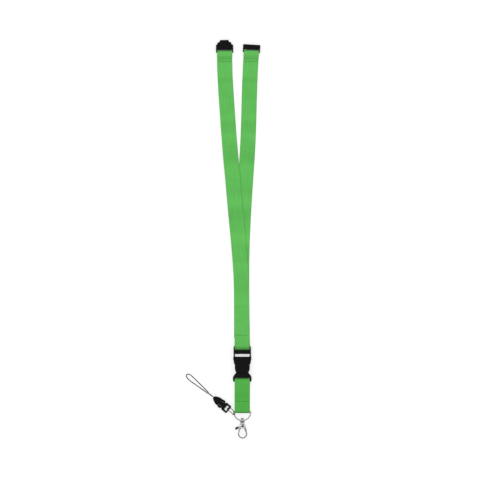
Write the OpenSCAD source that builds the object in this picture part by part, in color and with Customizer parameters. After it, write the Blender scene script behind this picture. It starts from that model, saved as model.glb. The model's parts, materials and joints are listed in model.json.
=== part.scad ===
// Breakaway neck lanyard with a side-release buckle, a D-ring, a swivel snap hook
// and a detachable phone loop. It lies flat: +Y runs up the neck strap, +Z is up from
// the table, and the origin is under the middle of the main buckle.

/* [Webbing] */
// Width of the neck and lower webbing
strap_w = 20; // [19:0.25:20.2]
// Thickness of one layer of webbing
strap_t = 1; // [0.8:0.05:1.05]
// Diameter of the sewing thread
thread_d = 0.5; // [0.4:0.05:0.7]
// Number of stitches in a row
stitch_count = 8; // [6:1:9]

/* [Main buckle] */
// Height of the main buckle
buckle_h = 7.6; // [7.4:0.1:8]
// Width of the socket's frame
frame_w = 22.9; // [22.8:0.1:23.4]
// Width across the finger pads
pads_w = 24; // [23.6:0.1:24.4]
// Width of the plug across its horns
plug_w = 24.7; // [24.4:0.1:26]
// Diameter of the bars that the webbing turns round
bar_d = 3; // [2.6:0.1:3]
// Angle of a latch arm when it is pressed in
arm_press = 11; // [8:0.5:11]

/* [Breakaway clasp] */
// Width of both clasp halves
clasp_w = 22.6; // [22.4:0.1:23.4]
// Height of both clasp halves
clasp_h = 6; // [5.6:0.1:6.4]

/* [Ring and hook] */
// Diameter of the D-ring's wire
ring_wire_d = 1.6; // [1.4:0.1:1.6]
// Radius of the D-ring's round side, to the middle of its wire
ring_r = 11.1; // [11.1:0.1:12]
// Outer width of the hook's loop
hook_w = 12.4; // [12:0.1:12.6]
// Width of the metal round the hook's loop
hook_wall = 1.7; // [1.5:0.1:1.9]

/* [Phone loop] */
// Diameter of the phone cord
cord_d = 1; // [0.8:0.05:1]
// Width of the small buckle's frame
mini_w = 11.5; // [11:0.1:11.8]
// Height of the small buckle
mini_h = 5; // [4.8:0.1:5.4]

/* [Hidden] */

$fn = 48;
cut = 20;                      // how far a cutting solid reaches past a face
web_green = [0.36, 0.70, 0.33];
thread_green = [0.28, 0.60, 0.26];
black_plastic = [0.10, 0.10, 0.11];
nickel = [0.72, 0.72, 0.74];
dark_metal = [0.33, 0.33, 0.34];
cord_grey = [0.16, 0.15, 0.16];

// Webbing
layer = strap_t + 0.08;        // pitch of two layers that lie on each other
low = strap_t / 2;             // middle of the layer that lies on the table
mid = low + layer;
high = mid + layer;
tuck = 0.1;                    // gap between a bar and the webbing round it

// Main buckle
mid_z = buckle_h / 2;
wrap_r = bar_d / 2 + tuck + strap_t / 2;
socket_bar_y = 19.4;
plug_bar_y = -22.1;
horn_in = 10.2;                // inner face of the horns that hold a bar
cavity_low = 1.5;
cavity_high = buckle_h - 1.5;
arm_low = cavity_low + 0.3;
arm_high = cavity_high - 0.3;
arm_pivot = [6.4, -14];
latch_y = -2;                  // edge of the side window that the latch bears on
window_top = 7.75;

// Breakaway clasp
clasp_bar_d = 2.4;
clasp_wrap_r = clasp_bar_d / 2 + tuck + strap_t / 2;
clasp_z = clasp_h / 2;
left_bar_y = 410.5;
right_bar_y = 410.8;

// Ring and hook
ring_z = 2.8;
ring_bar_y = -64;
ring_mid_y = -64.8;            // centre of the D-ring's round side
ring_wrap_r = ring_wire_d / 2 + tuck + strap_t / 2;
hook_z = 3;
eye_y = -75.2;
loop_at = [0.35, -93.4];       // centre of the hook's round end
neck_at = [0.35, -84.9];       // middle of the hook's neck
gate_pivot = [-1.2, -83.6];

// Small buckle
mini_at = [-26.5, -54.5];       // where the middle of the small buckle lies
mini_turn = -40.3;             // its direction, from its nose to its cord window
mini_z = mini_h / 2;
mini_bar_u = 10.5;
mini_bar_d = 2;
hitch_cord_d = 0.8;
hitch_angle = 13;              // how far round the D-ring the hitch sits

// Plan lines of the two legs, as [y, x] pairs
left_plan = [
    [0, -0.1], [45, -0.1], [65, -0.6], [90, -0.7], [110, -1.1], [130, -2.3], [165, -5.2],
    [200, -8.7], [240, -12.1], [275, -15.5], [310, -18.2], [350, -20.9], [370, -22.2],
    [390, -23.1], [405, -23.3], [440, -23.3]
];
right_plan = [
    [0, -0.5], [90, -0.8], [130, -0.8], [165, 0.1], [200, 1.8], [240, 4.3],
    [275, 6.8], [310, 8.4], [350, 9.3], [385, 10.6], [405, 11.7], [440, 13.7]
];

// Route of the phone cord, from one end at the sleeve to the other
loop_route = [
    [-45.4, -40.1, 0.7], [-47.9, -38.2, 0.5], [-51.9, -35.4, 0.5], [-57.3, -31.6, 0.5],
    [-62.6, -27.8, 0.5], [-67.7, -24.3, 0.5], [-71.7, -20.7, 0.5], [-73.8, -17.5, 0.5],
    [-73.3, -15.4, 0.5], [-71.2, -14.6, 0.5], [-69.1, -15.3, 0.5], [-66.7, -17, 0.5],
    [-63.2, -20.3, 0.5], [-59.3, -24, 0.5], [-55.5, -27.9, 0.5], [-51.5, -31.7, 0.5],
    [-47.7, -35.6, 0.5], [-44.6, -39.1, 0.7]
];
// Route of the hitch cord in the small buckle's frame: under its bar, up and back over it
hitch_route = [
    [19.2, 1.4, 4.2], [18.5, 2, 4.25], [17.7, 2.6, 4.2], [16.5, 3.3, 3.9], [15, 3.6, 3.2],
    [13.4, 3.5, 2.1], [11.9, 3.1, 1.25], [10.5, 2.8, 1], [9.4, 2.5, 1.45], [9, 1.9, 2.4],
    [9, 0.9, 2.6], [9, -0.1, 2.6], [9.4, -0.6, 3.55], [10.5, -0.7, 4], [11.9, -0.7, 3.85],
    [13.4, -0.6, 3.4], [15.2, -0.5, 2.8], [17, -0.5, 2.2], [18.4, -0.8, 1.95], [19.2, -1.15, 1.9]
];

// ---------- helpers ----------

// Average of the plan line over a short window, which rounds its corners
function plan_x(y, plan) =
    let (spread = [-12 : 4 : 12])
    [for (d = spread) lookup(y + d, plan)] * [for (d = spread) 1] / 7;

// How far the leg's direction is turned from +Y at y
function plan_turn(y, plan) = atan((plan_x(y + 3, plan) - plan_x(y - 3, plan)) / 6);

// Points of a turn round a bar, in the side view
function turn_round(y, z, r, from, to, steps = 8) =
    [for (i = [0 : steps]) let (a = from + (to - from) * i / steps) [y + r * cos(a), z + r * sin(a)]];

// Evenly spaced points of a straight stretch, without its first point
function run(a, b, steps) = [for (i = [1 : steps]) a + (b - a) * i / steps];

function side_normal(pts, i) =
    let (
        a = pts[max(i - 1, 0)],
        b = pts[min(i + 1, len(pts) - 1)],
        d = (b - a) / norm(b - a)
    )
    [-d[1], d[0]];

// One ring of six corners across the webbing, at side-view point i
function ribbon_ring(pts, i, plan) =
    let (
        p = pts[i],
        n = side_normal(pts, i) * strap_t / 2,
        t = plan_turn(p[0], plan),
        bevel = 0.3
    )
    [for (c = [
            [-strap_w / 2, 0], [bevel - strap_w / 2, 1], [strap_w / 2 - bevel, 1],
            [strap_w / 2, 0], [strap_w / 2 - bevel, -1], [bevel - strap_w / 2, -1]
        ])
        let (y = p[0] + n[0] * c[1], z = p[1] + n[1] * c[1])
        [plan_x(p[0], plan) + (y - p[0]) * tan(t) + c[0] * cos(t), y - c[0] * sin(t), z]
    ];

// Faces of a tube made of n rings with k corners each, closed at both ends
function tube_faces(n, k) = concat(
    [[for (j = [0 : k - 1]) j]],
    [for (i = [0 : n - 2]) for (j = [0 : k - 1])
        [i * k + j, (i + 1) * k + j, (i + 1) * k + (j + 1) % k, i * k + (j + 1) % k]],
    [[for (j = [k - 1 : -1 : 0]) (n - 1) * k + j]]
);

// Webbing along a side-view line, following a plan line
module ribbon(pts, plan) {
    rings = [for (i = [0 : len(pts) - 1]) ribbon_ring(pts, i, plan)];
    polyhedron([for (r = rings) each r], tube_faces(len(rings), 6), convexity = 8);
}

// Point at t along a Catmull-Rom curve through a, b, c and d
function curve_at(a, b, c, d, t) =
    0.5 * (2 * b + (c - a) * t + (2 * a - 5 * b + 4 * c - d) * t * t
        + (3 * b - a - 3 * c + d) * t * t * t);

// Smooth route through hand-placed points, with so many steps between two of them
function smooth(pts, steps) =
    let (n = len(pts))
    concat(
        [for (i = [0 : n - 2]) for (s = [0 : steps - 1])
            curve_at(pts[max(i - 1, 0)], pts[i], pts[i + 1], pts[min(i + 2, n - 1)], s / steps)],
        [pts[n - 1]]
    );

function cord_dir(pts, i) =
    let (d = pts[min(i + 1, len(pts) - 1)] - pts[max(i - 1, 0)])
    d / norm(d);

// Side direction of a cord, carried along from ring to ring so that it never flips
function carried(pts, i, last) =
    let (d = cord_dir(pts, i), s = last - d * (last * d))
    s / norm(s);

function cord_sides(pts, first) =
    [for (i = 0, s = carried(pts, 0, first); i < len(pts); i = i + 1,
        s = i < len(pts) ? carried(pts, i, s) : s) s];

// Round cord swept along a route
module cord(pts, d, sides = 8) {
    across = cord_sides(pts, [0, 0, 1]);
    rings = [for (i = [0 : len(pts) - 1])
        let (u = across[i], v = cross(cord_dir(pts, i), u))
        [for (j = [0 : sides - 1]) let (a = 360 * j / sides) pts[i] + d / 2 * (u * cos(a) + v * sin(a))]
    ];
    polyhedron([for (r = rings) each r], tube_faces(len(rings), sides), convexity = 6);
}

// Right half of an outline, closed with its mirror image
module both_halves(half) {
    n = len(half);
    polygon(concat(half, [for (i = [n - 1 : -1 : 0]) [-half[i][0], half[i][1]]]));
}

module slab(low_z, high_z) {
    translate([0, 0, low_z])
        linear_extrude(high_z - low_z)
            children();
}

// Solid block between two corners
module block(a, b) {
    translate(a)
        cube(b - a);
}

// Round bar along X
module cross_bar(y, z, d, length) {
    translate([0, y, z])
        rotate([0, 90, 0])
            cylinder(h = length, d = d, center = true);
}

// Row of thread stitches across the webbing, lying half sunk in its top face
module stitch_row(x, y, z, turn, count, pitch) {
    length = pitch * 0.72;
    translate([x, y, z])
        rotate([0, 0, turn])
            for (i = [0 : count - 1])
                translate([(i - (count - 1) / 2) * pitch, 0, 0])
                    rotate([0, 90, 0]) {
                        cylinder(h = length - thread_d, d = thread_d, center = true, $fn = 16);
                        for (s = [-1, 1])
                            translate([0, 0, s * (length - thread_d) / 2])
                                sphere(d = thread_d, $fn = 16);
                    }
}

module leg_row(y, z, plan) {
    pitch = (strap_w - 1.6) / stitch_count;
    stitch_row(plan_x(y, plan), y, z + strap_t / 2 + 0.05, -plan_turn(y, plan), stitch_count, pitch);
}

// ---------- webbing ----------

// Side view of the top of a leg: tail on the table, turn round the clasp's bar, front layer
function clasp_end(bar_y) = concat(
    [[bar_y - 17, low], [bar_y - 13, low], [bar_y - 9, low], [bar_y - 5, low + 0.15]],
    turn_round(bar_y, clasp_z, clasp_wrap_r, -90, 90),
    [[bar_y - 3, clasp_z + 1.35], [bar_y - 5.5, clasp_z + 0.1], [bar_y - 7.6, mid + 0.25]],
    [[bar_y - 9, mid], [bar_y - 13, mid], [bar_y - 17.5, mid], [bar_y - 20.5, mid - 0.25]],
    [[bar_y - 25, low + 0.25], [bar_y - 29, low]]
);

module left_leg_webbing() {
    color(web_green)
        ribbon(concat(
            clasp_end(left_bar_y),
            run([380, low], [302, low], 5),
            [[294, low + 0.25], [284, mid - 0.25], [276, mid]],
            run([276, mid], [62, mid], 14),
            [[58, mid + 0.15], [50, high - 0.15], [46, high], [40, high], [34, high]],
            [[31, high + 0.15], [27.5, mid_z + 0.35], [23.5, mid_z + wrap_r - 0.35]],
            turn_round(socket_bar_y, mid_z, wrap_r, 90, 270),
            [[23.5, mid_z - wrap_r - 0.3], [28, low + 0.35], [32, low], [38, low], [44, low]]
        ), left_plan);
}

module right_leg_webbing() {
    color(web_green)
        ribbon(concat(
            clasp_end(right_bar_y),
            run([381.4, low], [62, low], 20),
            [[58, low + 0.15], [50, mid - 0.15], [46, mid], [40, mid], [33, mid]]
        ), right_plan);
}

module left_leg_stitching() {
    color(thread_green)
        for (back = [9.3, 12.6])
            leg_row(left_bar_y - back, mid, left_plan);
}

module right_leg_stitching() {
    color(thread_green)
        for (back = [9.3, 12.6])
            leg_row(right_bar_y - back, mid, right_plan);
}

module junction_stitching() {
    color(thread_green)
        leg_row(36.8, high, left_plan);
}

module lower_strap_webbing() {
    centre = [[-100, 0], [0, 0]];
    color(web_green)
        ribbon(concat(
            [[-56.2, low], [-49.2, low], [-41.2, low], [-33.2, low], [-29.2, low + 0.25]],
            [[-25.7, mid_z - wrap_r - 0.25]],
            turn_round(plug_bar_y, mid_z, wrap_r, -90, 90),
            [[-25.7, mid_z + wrap_r - 0.4], [-30.2, mid_z + 0.75], [-35.2, high + 0.55]],
            [[-40.2, high + 0.1], [-45.2, high], [-51.2, high], [-56.2, high], [-60.2, high + 0.4]],
            turn_round(ring_bar_y, ring_z, ring_wrap_r, 90, 270),
            [[-60.2, mid - 0.15], [-56.7, mid], [-51.2, mid], [-45.2, mid]]
        ), centre);
}

module lower_strap_stitching() {
    pitch = (strap_w - 1.6) / stitch_count;
    color(thread_green)
        stitch_row(0, -50.4, high + strap_t / 2 + 0.05, 0, stitch_count, pitch);
}

// ---------- breakaway clasp ----------

// Horns and bar that the webbing turns round, below a clasp half whose face is at y = 2.4
module clasp_bar() {
    horn_w = (clasp_w - 2 * horn_in) / 2;
    for (s = [-1, 1])
        translate([s * (horn_in + horn_w / 2), 0, clasp_z]) {
            block([-horn_w / 2, 0.3, -1.5], [horn_w / 2, 3.2, 1.5]);
            translate([0, 0.3, 0])
                rotate([0, 90, 0])
                    cylinder(h = horn_w, r = 1.5, center = true);
        }
    cross_bar(0, clasp_z, clasp_bar_d, 2 * horn_in + horn_w);
}

// Clasp half that goes in: a tongue that narrows in two steps to its tip
module breakaway_plug() {
    half_w = clasp_w / 2;
    color(black_plastic)
        translate([plan_x(left_bar_y, left_plan), left_bar_y, 0])
            rotate([0, 0, -plan_turn(left_bar_y, left_plan)]) {
                clasp_bar();
                slab(0, clasp_h)
                    both_halves([[half_w, 2.6], [half_w, 8.9], [half_w - 0.8, 9.8]]);
                slab(1.2, clasp_h - 1.2)
                    rotate([0, 0, 1.8])
                        both_halves([
                            [half_w - 1.3, 8.6], [half_w - 1.3, 9.9], [half_w - 2.1, 10.5],
                            [half_w - 2.3, 12.2], [half_w - 3, 12.8], [half_w - 5, 13.2],
                            [half_w - 5.6, 15.2], [half_w - 6.2, 15.8]
                        ]);
            }
}

// Clasp half that takes the tongue: a shallow box, open towards +Y
module breakaway_socket() {
    half_w = clasp_w / 2;
    turn = -plan_turn(right_bar_y, right_plan);
    color(black_plastic)
        translate([plan_x(right_bar_y, right_plan), right_bar_y, 0])
            rotate([0, 0, turn]) {
                clasp_bar();
                difference() {
                    slab(0, clasp_h)
                        both_halves([[half_w, 2.6], [half_w, 9.4]]);
                    slab(1, clasp_h - 1)
                        both_halves([[half_w - 4.2, 3.8], [half_w - 1, 8.6], [half_w - 1, cut]]);
                }
            }
}

// ---------- main buckle ----------

module socket_outline() {
    half_w = frame_w / 2;
    difference() {
        union() {
            // frame with the cross member and the open slot
            both_halves([
                [half_w + 0.4, 6.6], [half_w + 0.4, 7.6], [half_w, 8.5], [half_w, 16.4],
                [half_w, 19.8], [half_w - 0.5, 22.4],
                [half_w - 0.9, 23.1], [horn_in + 0.1, 23.1], [horn_in, 22.4], [horn_in, 17.3]
            ]);
            // housing, from the frame down to the mouth
            both_halves([
                [8.6, 7], [8.6, latch_y], [9.8, latch_y], [9.8, -5], [9.7, -7.6],
                [9.2, -9.9], [8.6, -11.2], [8.1, -12.5]
            ]);
        }
        both_halves([[8.8, 8.4], [9.9, 9.5], [9.9, 12.1]]);
    }
}

// Room inside the housing for the plug's arms, open at the mouth and at both sides
module socket_cavity() {
    both_halves([
        [0.1, window_top], [cut, window_top], [cut, latch_y], [8.4, latch_y],
        [8.3, -7], [7.4, -11.2], [7.4, -cut]
    ]);
}

module buckle_socket() {
    rim = 0.9;                 // how far the frame is thinner than the housing
    color(black_plastic) {
        difference() {
            slab(0, buckle_h)
                socket_outline();
            slab(cavity_low, cavity_high)
                socket_cavity();
            // the frame and its horns are thinner than the housing
            for (z = [-cut, buckle_h - rim])
                block([-cut, 8.1, z], [cut, 30, z + cut + rim]);
            // room for the webbing that turns round the bar
            cross_bar(socket_bar_y, mid_z, 2 * wrap_r + strap_t + 0.4, 2 * horn_in);
            // finger ridges across the housing's face
            for (i = [0 : 2])
                block([-3.4, -9.3 + i * 1.7, buckle_h - 0.3], [3.4, -8.6 + i * 1.7, buckle_h + 1]);
        }
        cross_bar(socket_bar_y, mid_z, bar_d, 2 * horn_in + 1);
    }
}

module buckle_plug() {
    half_w = plug_w / 2;
    color(black_plastic) {
        difference() {
            union() {
                slab(0.2, buckle_h - 0.2)
                    both_halves([
                        [8.2, -12.8], [9.9, -14.8], [11.3, -16.7], [half_w - 0.3, -18.3], [half_w - 0.2, -19.3]
                    ]);
                // step that fills the socket's mouth
                slab(cavity_low + 0.3, cavity_high - 0.3)
                    both_halves([[7, -13.2], [7, -11.9], [6.6, -11.5]]);
                slab(1.2, buckle_h - 1.2)
                    both_halves([
                        [half_w - 0.5, -17.7], [half_w - 0.1, -19], [half_w, -20.4],
                        [half_w - 0.3, -23], [half_w - 1, -24.6], [half_w - 1.8, -24.7],
                        [horn_in + 0.1, -24], [horn_in, -18.7]
                    ]);
            }
            // seats for the roots of the two arms
            for (s = [-1, 1])
                translate([s * arm_pivot[0], arm_pivot[1], 0]) {
                    slab(arm_low - 0.2, arm_high + 0.2)
                        circle(r = 1.15);
                    slab(arm_low - 0.3, arm_high + 0.3)
                        polygon([[-0.9, 0.1], [0.9, 0.1], [1.5, 3], [-1.5, 3]]);
                }
        }
        cross_bar(plug_bar_y, mid_z, bar_d, 2 * horn_in + 1);
        // guide tongue between the arms
        slab(cavity_low + 0.6, cavity_high - 0.6)
            both_halves([[2, -13.4], [2, 2.4], [1.2, 4.2]]);
    }
}

// Latch arm on the right; its pad fills the side window
module arm() {
    out = pads_w / 2;
    slab(arm_low, arm_high) {
        translate(arm_pivot)
            circle(r = 1);
        polygon([
            [5.7, -14], [7.1, -14], [7.1, -11], [7.8, -7.5], [8, latch_y - 0.4],
            [8.2, latch_y + 0.25], [out - 1.7, latch_y + 0.25], [out - 1.3, -0.8],
            [out - 0.8, 2], [out - 0.3, 4.6], [out, 6.1], [out - 0.3, 6.8], [out - 1.1, 7],
            [8.6, 6.6], [7.2, 5.4], [6.7, 2], [6.6, -6]
        ]);
    }
}

module buckle_right_arm() {
    color(black_plastic)
        arm();
}

module buckle_left_arm() {
    color(black_plastic)
        mirror([1, 0, 0])
            arm();
}

// ---------- ring and swivel hook ----------

module d_ring() {
    wire_r = ring_wire_d / 2;
    color(nickel) {
        cross_bar(ring_bar_y, ring_z, ring_wire_d, 2 * ring_r);
        for (s = [-1, 1]) {
            translate([s * ring_r, ring_bar_y, ring_z]) {
                sphere(r = wire_r);
                rotate([90, 0, 0])
                    cylinder(h = ring_bar_y - ring_mid_y, r = wire_r);
            }
        }
        translate([0, ring_mid_y, ring_z])
            rotate([0, 0, 180])
                rotate_extrude(angle = 180)
                    translate([ring_r, 0])
                        circle(r = wire_r);
    }
}

// Eye that stands on edge round the ring's wire, with its collar
module swivel_eye() {
    color(nickel) {
        translate([0, eye_y, hook_z])
            rotate([0, 90, 0])
                rotate_extrude()
                    translate([2.2, 0]) {
                        square([0.9, 2.7], center = true);
                        for (s = [-1, 1])
                            translate([0, s * 1.35])
                                circle(d = 0.9);
                    }
        difference() {
            translate([0, -76.95, hook_z])
                rotate([90, 0, 0])
                    cylinder(h = 1.15, d = 5.9);
            translate([0, -69, hook_z])
                rotate([90, 0, 0])
                    cylinder(h = 20, d = 2.2);
        }
    }
}

// Headed rivet that holds the hook to the collar and lets it turn
module swivel_rivet() {
    color(nickel)
        translate([0, -77.9, hook_z])
            rotate([90, 0, 0]) {
                cylinder(h = 3.9, d = 2.2);
                translate([0, 0, 2.9])
                    cylinder(h = 1, d = 3);
            }
}

// Oval with a narrower top end
module oval(bottom_at, bottom_r, top_at, top_r) {
    hull() {
        translate(bottom_at)
            circle(r = bottom_r);
        translate(top_at)
            circle(r = top_r);
    }
}

module hook_outline() {
    neck_r = 4.5;
    difference() {
        union() {
            oval(loop_at, hook_w / 2, neck_at, neck_r);
            hull() {
                translate(neck_at)
                    circle(r = neck_r);
                both_halves([[2.6, -79.6], [2.6, -80]]);
            }
        }
        oval(loop_at, hook_w / 2 - hook_wall, neck_at - [0, 3.3], 2.4);
    }
}

module hook_body() {
    color(nickel)
        difference() {
            union() {
                slab(hook_z - 1.1, hook_z + 1.1)
                    hook_outline();
                // thicker neck round the rivet and the gate's pivot
                slab(hook_z - 1.9, hook_z + 1.9)
                    intersection() {
                        hook_outline();
                        translate([-5, -86.6])
                            square([10.4, 8]);
                    }
                translate([0, -78.4, hook_z])
                    rotate([90, 0, 0])
                        cylinder(h = 2.6, d = 5.2);
            }
            // hole for the rivet, and room for its head
            translate([0, -69, hook_z])
                rotate([90, 0, 0])
                    cylinder(h = 13, d = 2.5);
            translate([0, -80.6, hook_z])
                rotate([90, 0, 0])
                    cylinder(h = 1.6, d = 3.3);
            // slot in the neck for the gate
            slab(hook_z - 0.9, hook_z + 1.1)
                polygon([[0.9, -81.8], [1, -85.4], [-0.4, -93.2], [-cut, -93.2], [-cut, -81.4]]);
            // mouth that the gate closes
            slab(hook_z - cut, hook_z + cut)
                polygon([[-2, -85.8], [-1.2, -93.2], [-4.4, -92.6], [-9, -92.3], [-9, -85.8]]);
            // window in the front of the neck, over the gate's spring
            slab(hook_z + 0.5, hook_z + cut)
                polygon([[0.2, -80.7], [2.1, -80.9], [1.3, -84.6], [-0.5, -84.6]]);
            // bore for the gate's pin
            translate([gate_pivot[0], gate_pivot[1], hook_z - 1.4])
                cylinder(h = cut, d = 1.05);
        }
}

module gate_pin() {
    color(nickel)
        translate([gate_pivot[0], gate_pivot[1], hook_z - 1.4])
            cylinder(h = 3.4, d = 1);
}

// Gate with its thumb lever, turning on the pin
module hook_gate() {
    low_z = hook_z - 0.75;
    color(dark_metal)
        difference() {
            union() {
                slab(low_z, low_z + 1)
                    translate(gate_pivot)
                        circle(r = 1.45);
                slab(low_z, low_z + 1)
                    polygon([
                        [-2.6, -83.9], [0.1, -84.2], [-1.4, -86.2], [-3, -88.6], [-4.1, -92.1],
                        [-5.7, -92.1], [-4.9, -88.6], [-4.1, -86.1]
                    ]);
                slab(low_z, low_z + 1)
                    polygon([[-1.6, -82.3], [-5.2, -83.7], [-5.2, -86.2], [-3, -86.2]]);
                // thumb lever
                slab(low_z - 0.5, low_z + 1.9)
                    polygon([[-5, -83.6], [-9.1, -84.9], [-9.3, -87.5], [-8.9, -88], [-5, -86.6]]);
            }
            translate([gate_pivot[0], gate_pivot[1], 0])
                cylinder(h = cut, d = 1.3);
        }
}

// Torsion spring on the pin: two turns of fine wire and its two legs
module gate_spring() {
    wire = 0.3;
    coil_r = 0.85;
    pitch = 0.36;
    turns = 1.5;
    coil_z = hook_z + 0.47;
    coil = [for (a = [90 : 30 : 90 + 360 * turns])
        [coil_r * cos(a), coil_r * sin(a), pitch * (a - 90) / 360]];
    route = concat([[2, 0.9, 0], [1.2, 0.86, 0]], coil, [[-1.1, -0.95, pitch * turns], [-2.4, -1.2, pitch * turns]]);
    color(dark_metal)
        translate([gate_pivot[0], gate_pivot[1], coil_z])
            cord(route, wire);
}

// ---------- phone loop ----------

// Two turns of cord hitched round the ring's wire
module cord_hitch() {
    x = -ring_r * cos(hitch_angle);
    y = ring_mid_y - ring_r * sin(hitch_angle);
    turn_r = ring_wire_d / 2 + 0.12 + hitch_cord_d / 2;
    color(cord_grey)
        translate([x, y, ring_z])
            rotate([0, 0, hitch_angle])
                for (s = [-1, 1])
                    translate([0, s * 0.42, 0])
                        rotate([90, 0, 0])
                            rotate_extrude()
                                translate([turn_r, 0])
                                    circle(d = hitch_cord_d, $fn = 24);
}

module hitch_cord() {
    color(cord_grey)
        at_mini()
            cord(smooth(hitch_route, 3), hitch_cord_d);
}

// Puts a solid into the small buckle's own frame: +X runs from its nose to its window
module at_mini() {
    translate([mini_at[0], mini_at[1], 0])
        rotate([0, 0, mini_turn])
            children();
}

// Outline from its half with positive v, closed with its mirror image
module both_sides(half) {
    n = len(half);
    polygon(concat(half, [for (i = [n - 1 : -1 : 0]) [half[i][0], -half[i][1]]]));
}

module phone_socket() {
    half_w = mini_w / 2;
    color(black_plastic)
        at_mini() {
            difference() {
                slab(0.2, mini_h - 0.2)
                    both_sides([
                        [1.6, 4.3], [2.6, 4.6], [3.1, half_w], [10.6, half_w], [11.2, half_w - 0.4],
                        [11.4, half_w - 1]
                    ]);
                // window for the cord, open at the end but for the round bar
                slab(-1, mini_h + 1)
                    both_sides([[6, 3.3], [cut, 3.3]]);
                // pocket for the plug's tongue and its two hooked arms
                slab(1.1, mini_h - 1.1)
                    both_sides([[-1, 3.9], [3.6, 3.9], [3.6, 4.7], [5.2, 4.7]]);
            }
            translate([mini_bar_u, 0, mini_z])
                rotate([90, 0, 0])
                    cylinder(h = 7, d = mini_bar_d, center = true);
        }
}

module phone_plug() {
    color(black_plastic)
        at_mini()
            difference() {
                union() {
                    slab(0.3, mini_h - 0.3)
                        both_sides([
                            [-14.6, 1.2], [-13.8, 2.2], [-12.6, 3.1], [-10.6, 4.1], [-8.6, 4.8],
                            [-7.2, 5.2], [-4.7, 5.35]
                        ]);
                    slab(0.3, mini_h - 0.3)
                        both_sides([[-5, 3], [1.2, 3]]);
                    slab(1.4, mini_h - 1.4)
                        both_sides([[1, 1.9], [4.4, 1.9], [4.9, 1.4]]);
                    translate([-15, 0, mini_z])
                        rotate([0, 90, 0])
                            cylinder(h = 2, d = 3.2);
                }
                // seats for the roots of the two arms
                for (s = [-1, 1])
                    translate([-4.9, s * 4, 0]) {
                        slab(1.1, mini_h - 1.1)
                            circle(r = 0.75);
                        slab(1, mini_h - 1)
                            polygon([[0.1, -0.6], [0.1, 0.6], [2, 1.3], [2, -1.1]]);
                    }
                // hole that the sleeve is glued into
                translate([-cut, 0, mini_z])
                    rotate([0, 90, 0])
                        cylinder(h = cut - 13.6, d = 1.5);
            }
}

// Hooked arm of the small plug, on its +v side, with a round root
module mini_arm() {
    slab(1.4, mini_h - 1.4)
        translate([-4.9, 4])
            circle(r = 0.6);
    slab(1.3, mini_h - 1.3)
        polygon([
            [-4.9, 3.8], [-4.8, 4.3], [-4.2, 5.4], [-3.4, 5.6], [-2.4, 5.9], [-1.3, 6.05],
            [0, 6.05], [0.9, 5.8], [1.2, 5.3], [1.25, 3.75], [3.7, 3.75], [3.8, 4.5],
            [4.2, 4.4], [4.9, 3.5], [4.9, 2.8], [1.4, 2.6], [1.3, 3.25], [-3.9, 3.25]
        ]);
}

module phone_left_arm() {
    color(black_plastic)
        at_mini()
            mini_arm();
}

module phone_right_arm() {
    color(black_plastic)
        at_mini()
            mirror([0, 1, 0])
                mini_arm();
}

// Flat sleeve that joins both ends of the cord and plugs into the nose
module cord_sleeve() {
    color(cord_grey)
        cord([
            [-38.9, -44.2, mini_z], [-40.1, -43.3, 2.4], [-41.5, -42.2, 1.8],
            [-43.1, -41, 1.2], [-44.9, -39.7, 0.9]
        ], 1.4);
}

module phone_cord_loop() {
    color(cord_grey)
        cord(smooth(loop_route, 2), cord_d);
}

left_leg_webbing();
right_leg_webbing();
left_leg_stitching();
right_leg_stitching();
junction_stitching();
breakaway_plug();
breakaway_socket();
buckle_socket();
buckle_plug();
buckle_left_arm();
buckle_right_arm();
lower_strap_webbing();
lower_strap_stitching();
d_ring();
swivel_eye();
swivel_rivet();
hook_body();
hook_gate();
gate_pin();
gate_spring();
cord_hitch();
hitch_cord();
phone_socket();
phone_plug();
phone_left_arm();
phone_right_arm();
cord_sleeve();
phone_cord_loop();
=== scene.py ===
import json
import math

import bpy
from mathutils import Matrix, Vector


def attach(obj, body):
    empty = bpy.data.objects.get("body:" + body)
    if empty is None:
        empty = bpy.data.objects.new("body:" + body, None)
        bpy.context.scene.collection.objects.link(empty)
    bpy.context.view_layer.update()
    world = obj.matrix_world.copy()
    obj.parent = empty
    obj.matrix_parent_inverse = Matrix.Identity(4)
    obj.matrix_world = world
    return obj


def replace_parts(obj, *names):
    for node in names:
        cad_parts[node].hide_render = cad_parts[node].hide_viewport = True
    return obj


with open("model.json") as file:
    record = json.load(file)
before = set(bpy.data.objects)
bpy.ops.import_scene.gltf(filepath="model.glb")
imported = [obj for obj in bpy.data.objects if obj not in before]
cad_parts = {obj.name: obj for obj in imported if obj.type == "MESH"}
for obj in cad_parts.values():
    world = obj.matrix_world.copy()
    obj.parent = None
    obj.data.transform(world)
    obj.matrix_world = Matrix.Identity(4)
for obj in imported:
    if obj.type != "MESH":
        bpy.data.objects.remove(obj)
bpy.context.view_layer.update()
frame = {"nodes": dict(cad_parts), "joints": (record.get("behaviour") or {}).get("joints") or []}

MM = 0.001

# Sizes shared with the CAD model, in millimetres
STRAP_W, STRAP_T = 20.0, 1.0
LAYER = STRAP_T + 0.08
LOW = STRAP_T / 2
MID = LOW + LAYER
HIGH = MID + LAYER
CORD_D = 1.15
CORD_LIFT = 0.08        # keeps the cord, thicker than the CAD model's, off the table
BUCKLE_Z = 3.8
CLASP_Z = 3.0
RING_Z = 2.8
HOOK_Z = 3.0
HITCH_CORD_D = 0.8
RING_R, WIRE_D, RING_MID_Y = 11.1, 1.6, -64.8
STITCH_BACKS = (9.3, 12.6)      # from the clasp's bar down to its two stitch rows
JUNCTION_ROW_Y, LOWER_ROW_Y = 36.8, -50.4
MINI_AT, MINI_TURN = Vector((-26.5, -54.5, 0)), math.radians(-40.3)

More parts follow.
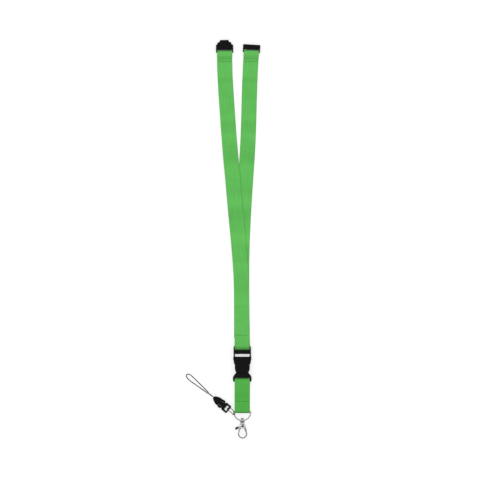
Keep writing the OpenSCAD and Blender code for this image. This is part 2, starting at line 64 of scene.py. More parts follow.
JOINT_AT = {joint["name"]: Vector(joint["pos_m"]) / MM for joint in frame["joints"] if joint.get("pos_m")}
LEFT_BAR_Y = JOINT_AT["left_clasp_tilt"].y
RIGHT_BAR_Y = JOINT_AT["right_clasp_tilt"].y
SOCKET_BAR_Y = JOINT_AT["buckle_tilt"].y
PLUG_BAR_Y = JOINT_AT["strap_tilt"].y
RING_BAR_Y = JOINT_AT["ring_tilt"].y

LEFT_PLAN = [
    (0, -0.1), (45, -0.1), (65, -0.6), (90, -0.7), (110, -1.1), (130, -2.3), (165, -5.2),
    (200, -8.7), (240, -12.1), (275, -15.5), (310, -18.2), (350, -20.9), (370, -22.2),
    (390, -23.1), (405, -23.3), (440, -23.3),
]
RIGHT_PLAN = [
    (0, -0.5), (90, -0.8), (130, -0.8), (165, 0.1), (200, 1.8), (240, 4.3),
    (275, 6.8), (310, 8.4), (350, 9.3), (385, 10.6), (405, 11.7), (440, 13.7),
]
STRAIGHT_PLAN = [(-100, 0), (0, 0)]

LOOP_ROUTE = [
    (-45.4, -40.1, 0.7), (-47.9, -38.2, 0.5), (-51.9, -35.4, 0.5), (-57.3, -31.6, 0.5),
    (-62.6, -27.8, 0.5), (-67.7, -24.3, 0.5), (-71.7, -20.7, 0.5), (-73.8, -17.5, 0.5),
    (-73.3, -15.4, 0.5), (-71.2, -14.6, 0.5), (-69.1, -15.3, 0.5), (-66.7, -17, 0.5),
    (-63.2, -20.3, 0.5), (-59.3, -24, 0.5), (-55.5, -27.9, 0.5), (-51.5, -31.7, 0.5),
    (-47.7, -35.6, 0.5), (-44.6, -39.1, 0.7),
]
HITCH_ROUTE = [
    (19.2, 1.4, 4.2), (18.5, 2, 4.25), (17.7, 2.6, 4.2), (16.5, 3.3, 3.9), (15, 3.6, 3.2),
    (13.4, 3.5, 2.1), (11.9, 3.1, 1.25), (10.5, 2.8, 1), (9.4, 2.5, 1.45), (9, 1.9, 2.4),
    (9, 0.9, 2.6), (9, -0.1, 2.6), (9.4, -0.6, 3.55), (10.5, -0.7, 4), (11.9, -0.7, 3.85),
    (13.4, -0.6, 3.4), (15.2, -0.5, 2.8), (17, -0.5, 2.2), (18.4, -0.8, 1.95), (19.2, -1.15, 1.9),
]
SLEEVE_ROUTE = [
    (-38.9, -44.2, 2.5), (-40.1, -43.3, 2.4), (-41.5, -42.2, 1.8), (-43.1, -41, 1.2),
    (-44.9, -39.7, 0.9),
]


# ---------- camera, light and floor ----------

def add_camera():
    """Looks straight down on the lanyard, from far enough to flatten the perspective."""
    view_width, distance, lens_mm = 0.6336, 6.0, 100
    centre = Vector((-0.0029, 0.1624, 0))
    data = bpy.data.cameras.new("camera")
    data.lens = lens_mm
    data.sensor_width = view_width * lens_mm / distance
    camera = bpy.data.objects.new("camera", data)
    camera.location = centre + Vector((0, 0, distance))
    bpy.context.scene.collection.objects.link(camera)
    bpy.context.scene.camera = camera


def add_overhead_light():
    """Broad soft light from straight above, which also reaches the table inside narrow slots."""
    data = bpy.data.lights.new("overhead", "SUN")
    data.energy = 2.25
    data.angle = math.radians(12)
    light = bpy.data.objects.new("overhead", data)
    light.rotation_euler = (math.radians(-2), math.radians(-3), 0)
    light.visible_glossy = False
    bpy.context.scene.collection.objects.link(light)


def add_studio():
    """White tent light: dark overhead, where the camera looks through, and bright in a ring lower down."""
    world = bpy.data.worlds.new("studio")
    world.use_nodes = True
    tree = world.node_tree
    direction = tree.nodes.new("ShaderNodeTexCoord")
    parts = tree.nodes.new("ShaderNodeSeparateXYZ")
    tree.links.new(direction.outputs["Generated"], parts.inputs[0])
    ramp = tree.nodes.new("ShaderNodeValToRGB")
    tree.links.new(parts.outputs[2], ramp.inputs[0])
    stops = ((0.0, 0.15), (0.15, 0.25), (0.3, 0.6), (0.6, 0.6), (0.78, 0.36), (1.0, 0.34))
    while len(ramp.color_ramp.elements) < len(stops):
        ramp.color_ramp.elements.new(0.5)
    for element, (height, level) in zip(ramp.color_ramp.elements, stops):
        element.position = height
        element.color = (level, level, level, 1)
    seen = tree.nodes.new("ShaderNodeLightPath")
    pick = tree.nodes.new("ShaderNodeMix")
    pick.data_type = "RGBA"
    tree.links.new(seen.outputs["Is Camera Ray"], pick.inputs["Factor"])
    tree.links.new(ramp.outputs[0], pick.inputs[6])
    pick.inputs[7].default_value = (1, 1, 1, 1)
    tree.links.new(pick.outputs[2], tree.nodes["Background"].inputs["Color"])
    bpy.context.scene.world = world
    bpy.context.scene.view_settings.view_transform = "Standard"


def add_floor():
    floor_z = -0.0003
    half = 3.0
    mesh = bpy.data.meshes.new("floor")
    corners = [(x * half, y * half, floor_z) for x, y in ((-1, -1), (1, -1), (1, 1), (-1, 1))]
    mesh.from_pydata(corners, [], [(0, 1, 2, 3)])
    floor = bpy.data.objects.new("floor", mesh)
    bpy.context.scene.collection.objects.link(floor)
    mat = bpy.data.materials.new("floor")
    mat.use_nodes = True
    shader = mat.node_tree.nodes["Principled BSDF"]
    shader.inputs["Base Color"].default_value = (0.92, 0.92, 0.92, 1)
    shader.inputs["Roughness"].default_value = 0.9
    shader.inputs["Specular IOR Level"].default_value = 0.1
    mesh.materials.append(mat)


# ---------- shader helpers ----------

class Shader:
    """Short way to wire a node material: every method returns an output socket."""

    def __init__(self, name):
        self.mat = bpy.data.materials.new(name)
        self.mat.use_nodes = True
        self.tree = self.mat.node_tree
        self.bsdf = self.tree.nodes["Principled BSDF"]

    def _set(self, socket, value):
        if isinstance(value, bpy.types.NodeSocket):
            self.tree.links.new(value, socket)
        else:
            socket.default_value = value

    def fixed(self, values):
        """Numbers and colours that are the same all over, set on the shader itself."""
        for key, value in values.items():
            self.bsdf.inputs[key].default_value = value

    def link(self, key, socket):
        self.tree.links.new(socket, self.bsdf.inputs[key])

    def math(self, kind, a, b=0.0):
        node = self.tree.nodes.new("ShaderNodeMath")
        node.operation = kind
        self._set(node.inputs[0], a)
        self._set(node.inputs[1], b)
        return node.outputs[0]

    def coords(self, which):
        return self.tree.nodes.new("ShaderNodeTexCoord").outputs[which]

    def split(self, vector):
        node = self.tree.nodes.new("ShaderNodeSeparateXYZ")
        self.tree.links.new(vector, node.inputs[0])
        return node.outputs

    def stretched(self, vector, scale):
        node = self.tree.nodes.new("ShaderNodeVectorMath")
        node.operation = "MULTIPLY"
        self.tree.links.new(vector, node.inputs[0])
        node.inputs[1].default_value = scale
        return node.outputs[0]

    def noise(self, vector, scale, detail=3.0, roughness=0.55):
        node = self.tree.nodes.new("ShaderNodeTexNoise")
        self.tree.links.new(vector, node.inputs["Vector"])
        node.inputs["Scale"].default_value = scale
        node.inputs["Detail"].default_value = detail
        node.inputs["Roughness"].default_value = roughness
        return node.outputs["Fac"]

    def spread(self, value, from_low, from_high, to_low, to_high):
        node = self.tree.nodes.new("ShaderNodeMapRange")
        self._set(node.inputs["Value"], value)
        numbers = {"From Min": from_low, "From Max": from_high, "To Min": to_low, "To Max": to_high}
        for key, number in numbers.items():
            node.inputs[key].default_value = number
        return node.outputs[0]

    def mix(self, share, a, b):
        node = self.tree.nodes.new("ShaderNodeMix")
        node.data_type = "RGBA"
        self._set(node.inputs["Factor"], share)
        self._set(node.inputs[6], a)
        self._set(node.inputs[7], b)
        return node.outputs[2]

    def bump(self, height, distance, strength=1.0):
        node = self.tree.nodes.new("ShaderNodeBump")
        self.tree.links.new(height, node.inputs["Height"])
        node.inputs["Distance"].default_value = distance
        node.inputs["Strength"].default_value = strength
        return node.outputs[0]


def grey(value):
    return (value, value, value, 1)


def webbing_material(name, dark, light, turns):
    """Woven polyester. The map runs across (u) and along (v) the webbing, 0.1 m to one unit.

    turns are the (y, reach) of the places, in mm, where it bends round a bar and painted shade darkens it.
    """
    s = Shader(name)
    warp_pitch, pick_pitch, half_width = 0.0095, 0.0062, 0.1
    uv = s.split(s.coords("UV"))
    column = s.math("FLOOR", s.math("DIVIDE", uv[0], warp_pitch))
    across = s.math("ABSOLUTE", s.math("SINE", s.math("MULTIPLY", uv[0], math.pi / warp_pitch)))
    picks = s.math("ADD", s.math("DIVIDE", uv[1], pick_pitch), s.math("MULTIPLY", column, 0.5))
    along = s.math("ABSOLUTE", s.math("SINE", s.math("MULTIPLY", picks, math.pi)))
    yarn = s.math("MULTIPLY", s.math("POWER", across, 0.6), s.math("POWER", along, 0.8))
    # darker along both edges: partly the selvedge's own denser weave, partly painted shade of the rounded
    # edges
    edge = s.spread(s.math("ABSOLUTE", uv[0]), half_width * 0.93, half_width * 0.99, 0, 1)
    streaks = s.noise(s.stretched(s.coords("UV"), (60, 4, 1)), 1.0)
    fibre = s.noise(s.stretched(s.coords("UV"), (900, 220, 1)), 1.0, 2)
    # painted shade: slow lighter and darker stretches along the webbing stand in for light falloff and the
    # shading of gentle waviness
    painted_falloff_shade = s.spread(s.noise(s.stretched(s.coords("UV"), (0.8, 3.5, 1)), 1.0, 3), 0.3, 0.7, -0.16, 0.16)
    tone = s.math("ADD", s.math("MULTIPLY", yarn, 0.45), s.math("MULTIPLY", streaks, 0.5))
    tone = s.math("ADD", tone, s.math("MULTIPLY", fibre, 0.2))
    tone = s.math("SUBTRACT", tone, s.math("MULTIPLY", edge, 0.3))
    tone = s.math("ADD", tone, painted_falloff_shade)
    painted_turn_shade = (0.006, 0.04, 0.005, 1)
    colour = s.mix(tone, dark, light)
    y = s.split(s.coords("Object"))[1]
    # painted shade: the webbing darkens where it bends round a bar, standing in for the shadow there
    for turn_y, reach in turns:
        away = s.math("ABSOLUTE", s.math("SUBTRACT", y, turn_y * MM))
        colour = s.mix(s.spread(away, 0, reach * MM, 0.75, 0), colour, painted_turn_shade)
    s.link("Base Color", colour)
    height = s.math("ADD", yarn, s.math("MULTIPLY", fibre, 0.25))
    s.link("Normal", s.bump(height, 0.00012))
    s.fixed({"Roughness": 0.72, "Specular IOR Level": 0.3, "Sheen Weight": 0.25, "Sheen Roughness": 0.4})
    return s.mat


def thread_material():
    """Shiny sewing thread with the slant of its plies."""
    s = Shader("thread")
    uv = s.split(s.coords("UV"))
    twist = s.math("ADD", s.math("MULTIPLY", uv[0], 3.0), s.math("MULTIPLY", uv[1], 2.0))
    ply = s.math("ABSOLUTE", s.math("SINE", s.math("MULTIPLY", twist, math.pi)))
    # the thread's dark green is partly its own colour and partly painted shade of the groove it sinks into
    s.link("Base Color", s.mix(ply, (0.008, 0.075, 0.007, 1), (0.025, 0.17, 0.02, 1)))
    s.link("Normal", s.bump(ply, 0.00006))
    s.fixed({"Roughness": 0.5, "Sheen Weight": 0.2})
    return s.mat


def plastic_material(name, tone, shine):
    """Moulded acetal: fine spark-eroded grain, slight clouding and rubbed edges."""
    s = Shader(name)
    place = s.coords("Object")
    grain = s.noise(place, 5200.0, 2)
    cloud = s.noise(place, 160.0, 3)
    geometry = s.tree.nodes.new("ShaderNodeNewGeometry")
    rubbed = s.spread(geometry.outputs["Pointiness"], 0.52, 0.62, 0, 0.5)
    worn = s.math("MULTIPLY", rubbed, s.spread(cloud, 0.4, 0.7, 0.3, 1))
    base = s.mix(s.spread(cloud, 0.3, 0.7, 0, 1), grey(tone * 0.75), grey(tone * 1.3))
    s.link("Base Color", s.mix(worn, base, grey(tone * 4)))
    s.link("Roughness", s.spread(cloud, 0.3, 0.7, shine - 0.05, shine + 0.07))
    s.link("Normal", s.bump(grain, 0.00002, 0.5))
    s.fixed({"IOR": 1.48, "Specular IOR Level": 0.18})
    return s.mat


def metal_material(name, tone, shine, mid_z=None, half_depth=1.0, bands=(), window_shade_outside=None):
    """Plated metal with faint polishing scratches. All places are in millimetres.

    mid_z, half_depth: painted shade, dark at the height mid_z and bright half_depth above and below it.
    bands: (y, reach) of the rings of painted shade round the piece.
    window_shade_outside: (x, reach, low_y); above low_y, what is further than reach from x is dark with
    painted shade, as inside the hook's window.
    """
    s = Shader(name)
    place = s.coords("Object")
    xyz = s.split(place)
    cloud = s.noise(place, 240.0, 3)
    scratch = s.noise(s.stretched(place, (900, 6000, 2500)), 1.0, 2)
    colour = s.mix(s.spread(cloud, 0.3, 0.7, 0, 1), grey(tone * 0.86), grey(tone))
    painted_metal_shade = grey(tone * 0.13)
    painted_window_shade = grey(0.05)
    # painted shade: the metal darkens towards the height mid_z, leaving the faces bright and the rims dark
    # as light from above would
    if mid_z is not None:
        depth = s.math("ABSOLUTE", s.math("SUBTRACT", xyz[2], mid_z * MM))
        colour = s.mix(s.spread(depth, 0.15 * half_depth * MM, half_depth * MM, 1, 0), colour, painted_metal_shade)
    # painted shade in rings round the eye, at its collar and its top
    for band_y, reach in bands:
        away = s.math("ABSOLUTE", s.math("SUBTRACT", xyz[1], band_y * MM))
        colour = s.mix(s.spread(away, reach * 0.6 * MM, reach * MM, 0.9, 0), colour, painted_metal_shade)
    # painted shade: the gate goes dark where it shows inside the hook's window
    if window_shade_outside is not None:
        middle, reach, low_y = (value * MM for value in window_shade_outside)
        away = s.math("ABSOLUTE", s.math("SUBTRACT", xyz[0], middle))
        outside = s.spread(away, reach - 0.2 * MM, reach + 0.2 * MM, 0, 1)
        above = s.spread(xyz[1], low_y - 0.2 * MM, low_y + 0.2 * MM, 0, 1)
        colour = s.mix(s.math("MULTIPLY", outside, above), colour, painted_window_shade)
    s.link("Base Color", colour)
    rough = s.spread(cloud, 0.3, 0.7, shine - 0.04, shine + 0.06)
    s.link("Roughness", s.math("ADD", rough, s.math("MULTIPLY", scratch, 0.06)))
    s.link("Normal", s.bump(scratch, 0.000012, 0.5))
    s.fixed({"Metallic": 0.72})
    return s.mat


def cord_material():
    """Braided cord: the map runs round (u) and along (v), one unit of v to a millimetre."""
    s = Shader("cord")
    uv = s.split(s.coords("UV"))
    right = s.math("ADD", s.math("MULTIPLY", uv[0], 4), s.math("MULTIPLY", uv[1], 1.1))
    left = s.math("SUBTRACT", s.math("MULTIPLY", uv[0], 4), s.math("MULTIPLY", uv[1], 1.1))
    braid = s.math(
        "MULTIPLY",
        s.math("ABSOLUTE", s.math("SINE", s.math("MULTIPLY", right, math.pi))),
        s.math("ABSOLUTE", s.math("SINE", s.math("MULTIPLY", left, math.pi))),
    )
    s.link("Base Color", s.mix(braid, grey(0.005), grey(0.025)))
    s.link("Normal", s.bump(braid, 0.00008))
    s.fixed({"Roughness": 0.7, "Specular IOR Level": 0.25})
    return s.mat


# ---------- mesh helpers ----------

def put(name, mesh, mat, body):
    obj = bpy.data.objects.new(name, mesh)
    bpy.context.scene.collection.objects.link(obj)
    mesh.materials.clear()
    mesh.materials.append(mat)
    mesh.polygons.foreach_set("use_smooth", [True] * len(mesh.polygons))
    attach(obj, body)
    return obj


def add_grid(verts, faces, uvs, rings, ring_uvs, closed_ends=True):
    """Adds a skin over rings of points, each ring closed on itself; ring_uvs has one more column."""
    start, size = len(verts), len(rings[0])
    for ring in rings:
        verts.extend(ring)
    for i in range(len(rings) - 1):
        for j in range(size):
            k = (j + 1) % size
            a, b = start + i * size, start + (i + 1) * size
            faces.append((a + j, a + k, b + k, b + j))
            uvs.append((ring_uvs[i][j], ring_uvs[i][j + 1], ring_uvs[i + 1][j + 1], ring_uvs[i + 1][j]))
    if closed_ends:
        last = start + (len(rings) - 1) * size
        faces.append(tuple(start + j for j in reversed(range(size))))
        uvs.append(tuple(ring_uvs[0][j] for j in reversed(range(size))))
        faces.append(tuple(last + j for j in range(size)))
        uvs.append(tuple(ring_uvs[-1][j] for j in range(size)))


def mesh_from(name, verts, faces, uvs):
    mesh = bpy.data.meshes.new(name)
    mesh.from_pydata([tuple(v) for v in verts], [], faces)
    layer = mesh.uv_layers.new(name="map")
    layer.data.foreach_set("uv", [c for face in uvs for uv in face for c in uv])
    mesh.validate()
    return mesh


def smooth_route(points, steps):
    """Catmull-Rom curve through the points, as the CAD model sweeps it."""
    pts = [Vector(p) for p in points]
    out = []
    for i in range(len(pts) - 1):
        a, b = pts[max(i - 1, 0)], pts[i]
        c, d = pts[i + 1], pts[min(i + 2, len(pts) - 1)]
        for k in range(steps):
            t = k / steps
            out.append(0.5 * (
                2 * b + (c - a) * t + (2 * a - 5 * b + 4 * c - d) * t * t
                + (3 * b - a - 3 * c + d) * t ** 3
            ))
    out.append(pts[-1])
    return out


def add_tube(verts, faces, uvs, points, radius, sides=12, lobes=0, lobe_depth=0.0, turns_per_mm=0.0):
    """Sweeps a round, or slightly lobed and twisting, section along points in millimetres.

    radius is a number, or a function of the share of the way along.
    """
    side = Vector((0, 0, 1))
    along = 0.0
    rings, ring_uvs = [], []
    for i, p in enumerate(points):
        direction = (points[min(i + 1, len(points) - 1)] - points[max(i - 1, 0)]).normalized()
        side = (side - direction * side.dot(direction)).normalized()
        other = direction.cross(side)
        if i:
            along += (p - points[i - 1]).length
        r = radius(i / (len(points) - 1)) if callable(radius) else radius
        ring, uv_row = [], []
        for j in range(sides + 1):
            angle = 2 * math.pi * j / sides
            bulge = 1 + lobe_depth * math.cos(lobes * angle + 2 * math.pi * turns_per_mm * along)
            uv_row.append((j / sides, along))
            if j < sides:
                outward = side * math.cos(angle) + other * math.sin(angle)
                ring.append((p + r * bulge * outward) * MM)
        rings.append(ring)
        ring_uvs.append(uv_row)
    add_grid(verts, faces, uvs, rings, ring_uvs)


def tube_piece(name, points, radius, mat, body, slot, **shape):
    verts, faces, uvs = [], [], []
    add_tube(verts, faces, uvs, points, radius, **shape)
    return put(name, mesh_from(name, verts, faces, uvs), mat, body)


# ---------- webbing ----------

def plan_x(y, plan):
    """The plan line's x, averaged over a short window that rounds its corners."""
    total = 0.0
    for shift in range(-12, 13, 4):
        at = min(max(y + shift, plan[0][0]), plan[-1][0])
        for (y0, x0), (y1, x1) in zip(plan, plan[1:]):
            if y0 <= at <= y1:
                total += x0 + (x1 - x0) * (at - y0) / (y1 - y0)
                break
    return total / 7


def plan_turn(y, plan):
    return math.atan((plan_x(y + 3, plan) - plan_x(y - 3, plan)) / 6)


def turn_round(y, z, r, start, end, steps=18):
    """Points of a turn round a bar, marked True so that smoothing leaves them alone."""
    angles = [math.radians(start + (end - start) * i / steps) for i in range(steps + 1)]
    return [(y + r * math.cos(a), z + r * math.sin(a), True) for a in angles]


def clasp_end(bar_y):
    wrap_r = 1.8
    top = CLASP_Z
    tail = [(bar_y - 17, LOW), (bar_y - 13, LOW), (bar_y - 9, LOW), (bar_y - 5, LOW + 0.15)]
    front = [
        (bar_y - 3, top + 1.35), (bar_y - 5.5, top + 0.1), (bar_y - 7.6, MID + 0.25),
        (bar_y - 9, MID), (bar_y - 13, MID), (bar_y - 17.5, MID), (bar_y - 20.5, MID - 0.25),
        (bar_y - 25, LOW + 0.25), (bar_y - 29, LOW),
    ]
    return tail + turn_round(bar_y, top, wrap_r, -90, 90) + front


def left_side_view():
    r = 2.1
    z = BUCKLE_Z
    return clasp_end(LEFT_BAR_Y) + [
        (302, LOW), (294, LOW + 0.25), (284, MID - 0.25), (276, MID), (62, MID),
        (58, MID + 0.15), (50, HIGH - 0.15), (46, HIGH), (40, HIGH), (34, HIGH),
        (31, HIGH + 0.15), (27.5, z + 0.35), (23.5, z + r - 0.35),
    ] + turn_round(SOCKET_BAR_Y, z, r, 90, 270) + [
        (23.5, z - r - 0.3), (28, LOW + 0.35), (32, LOW), (38, LOW), (44, LOW),
    ]


def right_side_view():
    return clasp_end(RIGHT_BAR_Y) + [
        (62, LOW), (58, LOW + 0.15), (50, MID - 0.15), (46, MID), (40, MID), (33, MID),
    ]


def lower_side_view():
    r = 2.1
    z = BUCKLE_Z
    return [
        (-56.2, LOW), (-49.2, LOW), (-41.2, LOW), (-33.2, LOW), (-29.2, LOW + 0.25), (-25.7, z - r - 0.25),
    ] + turn_round(PLUG_BAR_Y, z, r, -90, 90) + [
        (-25.7, z + r - 0.4), (-30.2, z + 0.75), (-35.2, HIGH + 0.55), (-40.2, HIGH + 0.1),
        (-45.2, HIGH), (-51.2, HIGH), (-56.2, HIGH), (-60.2, HIGH + 0.4),
    ] + turn_round(RING_BAR_Y, RING_Z, 1.4, 90, 270) + [
        (-60.2, MID - 0.15), (-56.7, MID), (-51.2, MID), (-45.2, MID),
    ]


def evenly(side_view, rows):
    """The side view cut into short steps, finer at the stitch rows, and eased.

    Turns round bars are kept as they are.
    """
    coarse, fine, reach = 1.5, 0.3, 2.5
    longest_fine, easing_rounds = 40, 6
    pts = []
    for a, b in zip(side_view, side_view[1:]):
        held = len(a) > 2 and len(b) > 2
        low_y, high_y = min(a[0], b[0]) - reach, max(a[0], b[0]) + reach
        span = math.dist(a[:2], b[:2])
        near_row = any(low_y < row < high_y for row in rows)
        spacing = fine if near_row and span < longest_fine else coarse
        steps = 1 if held else max(1, round(span / spacing))
        for k in range(steps):
            t = k / steps
            fixed = held or (k == 0 and len(a) > 2)
            pts.append([a[0] + (b[0] - a[0]) * t, a[1] + (b[1] - a[1]) * t, fixed])
    pts.append([side_view[-1][0], side_view[-1][1], True])
    pts[0][2] = True
    for _ in range(easing_rounds):
        old = [p[:] for p in pts]
        for i in range(1, len(pts) - 1):
            if not pts[i][2]:
                pts[i][1] = (old[i - 1][1] + 2 * old[i][1] + old[i + 1][1]) / 4
    return pts


def webbing_section():
    """Corners of the webbing's section, in mm: a flat band with round woven edges."""
    half, thick = STRAP_W / 2, STRAP_T / 2
    columns = 14
    top = [(half - 0.35 - (STRAP_W - 0.7) * i / columns, thick) for i in range(columns + 1)]
    upper_edge = [(-half + 0.1, thick * 0.72), (-half, thick * 0.25)]
    round_edge = upper_edge + [(x, -z) for x, z in reversed(upper_edge)]
    bottom = [(-x, -z) for x, z in top]
    other_edge = [(-x, -z) for x, z in round_edge]
    return top + round_edge + bottom + other_edge


def webbing(name, side_view, plan, mat, body, rows):
    """A strip of webbing along a side view. rows are the (y, z) of the stitch rows on its layers."""
    pts = evenly(side_view, [y for y, _ in rows])
    section = webbing_section()
    groove_depth, groove_half = 0.2, 0.7
    rings, ring_uvs, along = [], [], 0.0
    for i, (y, z, _) in enumerate(pts):
        before, after = pts[max(i - 1, 0)], pts[min(i + 1, len(pts) - 1)]
        slope = Vector((after[0] - before[0], after[1] - before[1])).normalized()
        if i:
            along += math.dist(pts[i - 1][:2], (y, z))
        turn = plan_turn(y, plan)
        centre_x = plan_x(y, plan)
        pull = 0.0
        for row_y, row_z in rows:
            if abs(z - row_z) < LAYER / 2:
                pull = max(pull, math.exp(-((y - row_y) / groove_half) ** 2))
        ring = []
        for across, lift in section:
            drawn_in = across * (1 - 0.012 * pull)
            sunk = lift - math.copysign(groove_depth, lift) * pull * (abs(lift) > 0.3)
            py, pz = y - slope.y * sunk, z + slope.x * sunk
            x = centre_x + (py - y) * math.tan(turn) + drawn_in * math.cos(turn)
            ring.append(Vector((x, py - drawn_in * math.sin(turn), pz)) * MM)
        rings.append(ring)
        uv_row = [(across * 0.01, along * 0.01) for across, _ in section]
        ring_uvs.append(uv_row + uv_row[:1])
    verts, faces, uvs = [], [], []
    add_grid(verts, faces, uvs, rings, ring_uvs)
    obj = put(name, mesh_from(name, verts, faces, uvs), mat, body)
    return obj, along


def stitch_rows(name, rows, mat, body):
    """Thread stitches, each diving into the webbing at both ends. A row is (x, y, z, turn)."""
    count, margin, thread_r = 8, 0.8, 0.21
    pitch = (STRAP_W - 2 * margin) / count
    dive = [(0.2, -0.02), (0.42, -0.25), (0.47, -0.6)]
    shape = [(-a, h) for a, h in reversed(dive)] + [(0, 0.03)] + dive
    verts, faces, uvs = [], [], []
    for x, y, z, turn in rows:
        spin = Matrix.Rotation(turn, 3, "Z")
        for i in range(count):
            mid_x = (i - (count - 1) / 2) * pitch
            sway = 0.08 * math.sin(2.3 * i)
            route = [Vector((mid_x + a * pitch, sway + 0.12 * a, h)) for a, h in shape]
            route = [spin @ p + Vector((x, y, z)) for p in smooth_route(route, 2)]
            add_tube(verts, faces, uvs, route, thread_r, sides=8)
    return put(name, mesh_from(name, verts, faces, uvs), mat, body)


# ---------- moulded and cast parts ----------

def rounded_copy(node, body, mat, voxel_mm, rounds):
    """A copy of a CAD node with its sharp edges rounded, as moulding or casting leaves them."""
    source = frame["nodes"][node]
    work = bpy.data.objects.new(node + "_work", source.data.copy())
    bpy.context.scene.collection.objects.link(work)
    remesh = work.modifiers.new("remesh", "REMESH")
    remesh.mode = "VOXEL"
    remesh.voxel_size = voxel_mm * MM
    smooth = work.modifiers.new("smooth", "SMOOTH")
    smooth.factor = 0.5
    smooth.iterations = rounds
    graph = bpy.context.evaluated_depsgraph_get()
    mesh = bpy.data.meshes.new_from_object(work.evaluated_get(graph))
    bpy.data.objects.remove(work)
    piece = put(node + "_moulded", mesh, mat, body)
    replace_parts(piece, node)
    return piece


# ---------- the object ----------

add_camera()
add_overhead_light()
add_studio()
add_floor()

LEG_TONES = (0.056, 0.275, 0.046, 1), (0.142, 0.578, 0.117, 1)
# painted shade: the lower strap is the same webbing as the legs, in darker tones that stand in for the
# weaker light on it
LOWER_SHADED_TONES = (0.041, 0.24, 0.031, 1), (0.096, 0.478, 0.076, 1)
# places of painted shade, where the webbing bends round a bar
LEFT_TURN_SHADE = [(LEFT_BAR_Y + 2.3, 2.4), (SOCKET_BAR_Y - 2.6, 6)]
RIGHT_TURN_SHADE = [(RIGHT_BAR_Y + 2.3, 1.6)]
LOWER_TURN_SHADE = [(PLUG_BAR_Y + 2.6, 2.3), (RING_BAR_Y - 1.9, 2.6)]
LEFT_WEBBING = webbing_material("left_webbing", *LEG_TONES, LEFT_TURN_SHADE)
RIGHT_WEBBING = webbing_material("right_webbing", *LEG_TONES, RIGHT_TURN_SHADE)
LOWER_SHADED_WEBBING = webbing_material("lower_webbing_shaded", *LOWER_SHADED_TONES, LOWER_TURN_SHADE)
THREAD = thread_material()
PLASTIC = plastic_material("black_plastic", 0.004, 0.4)
EYE_SHADE_BANDS = [(-72.8, 1.1), (-77.5, 0.9)]
# the gate's bright band; above low_y, the gate outside it gets painted shade
GATE_BRIGHT = (-3, 1.9, -88.4)
# painted shade on the ring's and hook's rims, set by mid_z and half_depth
RING_METAL = metal_material("ring_nickel", 0.8, 0.18, mid_z=RING_Z, half_depth=WIRE_D / 2)
HOOK_METAL = metal_material("hook_nickel", 0.9, 0.18, mid_z=HOOK_Z, half_depth=1.9)
EYE_METAL = metal_material("eye_nickel", 0.8, 0.18, mid_z=HOOK_Z, half_depth=2.6, bands=EYE_SHADE_BANDS)
GATE_METAL = metal_material("gate_nickel", 0.7, 0.25, window_shade_outside=GATE_BRIGHT)
# dark metal of the rivet, pin and spring: partly their own finish, partly painted shade of the hook's window
# where the spring shows
DARK_METAL_AND_SHADE = metal_material("dark_nickel_and_shade", 0.1, 0.35)
CORD = cord_material()

# Phone cord, its sleeve and the hitch
loop_path = [p + Vector((0, 0, CORD_LIFT)) for p in smooth_route(LOOP_ROUTE, 14)]
loop = tube_piece(
    "phone_loop", loop_path, CORD_D / 2, CORD, "phone_end", "cord",
    sides=12, lobes=3, lobe_depth=0.05, turns_per_mm=0.35,
)
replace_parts(loop, "phone_cord_loop")
sleeve = tube_piece(
    "phone_sleeve", smooth_route(SLEEVE_ROUTE, 6), lambda t: 0.78 - 0.1 * t, CORD, "phone_end", "cord",
    sides=16,
)
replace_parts(sleeve, "cord_sleeve")

# Hitch on the ring, and the strands from it round the small buckle's bar
spin = Matrix.Rotation(MINI_TURN, 3, "Z")
hitch_path = [spin @ p + MINI_AT for p in smooth_route(HITCH_ROUTE, 6)]
hitch = tube_piece(
    "hitch_strands", hitch_path, HITCH_CORD_D / 2, CORD, "hitch", "cord",
    sides=12, lobes=3, lobe_depth=0.05, turns_per_mm=0.4,
)
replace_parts(hitch, "hitch_cord")
hitch_at = JOINT_AT["hitch_turn"]
wire_angle = math.atan2(RING_MID_Y - hitch_at.y, -hitch_at.x)
outward = Vector((-math.cos(wire_angle), -math.sin(wire_angle), 0))
along_wire = Vector((math.sin(wire_angle), -math.cos(wire_angle), 0))
gap = 0.12
turn_r = WIRE_D / 2 + gap + HITCH_CORD_D / 2
steps, turns, turn_pitch = 24, 2, 0.462
coil = []
for i in range(steps * turns + 1):
    angle = 2 * math.pi * i / steps
    reach = outward * math.cos(angle) + Vector((0, 0, 1)) * math.sin(angle)
    coil.append(hitch_at + reach * turn_r + along_wire * turn_pitch * (i / steps - turns / 2))
knot = tube_piece(
    "hitch_turns", coil, HITCH_CORD_D / 2, CORD, "ring", "cord",
    sides=12, lobes=3, lobe_depth=0.05, turns_per_mm=0.4,
)
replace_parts(knot, "cord_hitch")

# Webbing
leg_rows = {
    "left_leg_webbing": [(LEFT_BAR_Y - back, MID) for back in STITCH_BACKS] + [(JUNCTION_ROW_Y, HIGH)],
    "right_leg_webbing": [(RIGHT_BAR_Y - back, MID) for back in STITCH_BACKS],
    "lower_strap_webbing": [(LOWER_ROW_Y, HIGH)],
}
for name, side_view, plan, body, mat in (
    ("left_leg_webbing", left_side_view(), LEFT_PLAN, "neck_strap", LEFT_WEBBING),
    ("right_leg_webbing", right_side_view(), RIGHT_PLAN, "neck_strap", RIGHT_WEBBING),
    ("lower_strap_webbing", lower_side_view(), STRAIGHT_PLAN, "strap_end", LOWER_SHADED_WEBBING),
):
    piece, cut_length = webbing(name + "_woven", side_view, plan, mat, body, leg_rows[name])
    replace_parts(piece, name)

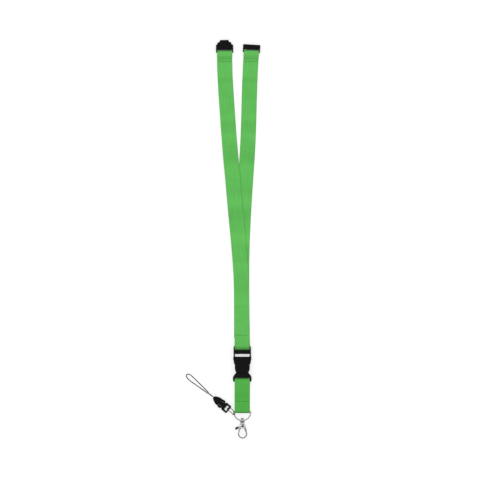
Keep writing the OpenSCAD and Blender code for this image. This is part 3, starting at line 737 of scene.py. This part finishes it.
# Stitching
for node, plan, bar_y in (
    ("left_leg_stitching", LEFT_PLAN, LEFT_BAR_Y), ("right_leg_stitching", RIGHT_PLAN, RIGHT_BAR_Y),
):
    row_ys = [bar_y - back for back in STITCH_BACKS]
    rows = [(plan_x(y, plan), y, MID + LOW, -plan_turn(y, plan)) for y in row_ys]
    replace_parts(stitch_rows(node + "_thread", rows, THREAD, "neck_strap"), node)
row = [(plan_x(JUNCTION_ROW_Y, LEFT_PLAN), JUNCTION_ROW_Y, HIGH + LOW, 0)]
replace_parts(stitch_rows("junction_stitching_thread", row, THREAD, "neck_strap"), "junction_stitching")
row = [(0, LOWER_ROW_Y, HIGH + LOW, 0)]
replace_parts(stitch_rows("lower_strap_stitching_thread", row, THREAD, "strap_end"), "lower_strap_stitching")

# Plastic: each piece with its body and the fineness of its moulded copy
for node, body, voxel in (
    ("breakaway_plug", "left_clasp_half", 0.2), ("breakaway_socket", "right_clasp_half", 0.2),
    ("buckle_socket", "upper_buckle", 0.2), ("buckle_plug", "lower_buckle", 0.2),
    ("buckle_left_arm", "left_latch", 0.15), ("buckle_right_arm", "right_latch", 0.15),
    ("phone_socket", "phone_top", 0.14), ("phone_plug", "phone_end", 0.14),
    ("phone_left_arm", "phone_left_latch", 0.1), ("phone_right_arm", "phone_right_latch", 0.1),
):
    rounded_copy(node, body, PLASTIC, voxel, 6)

# Metal
ring_path = []
corner_cut = 0.27
for angle in range(0, 181, 4):
    a = math.radians(angle)
    ring_path.append(Vector((RING_R * math.cos(a), RING_MID_Y - RING_R * math.sin(a), RING_Z)))
ring_path.append(Vector((-RING_R, RING_BAR_Y - corner_cut, RING_Z)))
ring_path.append(Vector((-RING_R + corner_cut, RING_BAR_Y, RING_Z)))
ring_path.append(Vector((RING_R - corner_cut, RING_BAR_Y, RING_Z)))
ring_path.append(Vector((RING_R, RING_BAR_Y - corner_cut, RING_Z)))
ring_path.append(ring_path[0])
ring = tube_piece("ring_wire", ring_path, WIRE_D / 2, RING_METAL, "ring", "nickel", sides=20)
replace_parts(ring, "d_ring")
for node, body, mat, slot, rounds in (
    ("hook_body", "hook", HOOK_METAL, "nickel", 16), ("swivel_eye", "eye", EYE_METAL, "nickel", 8),
    ("hook_gate", "gate", GATE_METAL, "dark_metal", 6),
):
    rounded_copy(node, body, mat, 0.1, rounds)
for node, mat in (
    ("swivel_rivet", DARK_METAL_AND_SHADE), ("gate_pin", DARK_METAL_AND_SHADE), ("gate_spring", DARK_METAL_AND_SHADE),
):
    mesh = frame["nodes"][node].data
    mesh.materials.clear()
    mesh.materials.append(mat)
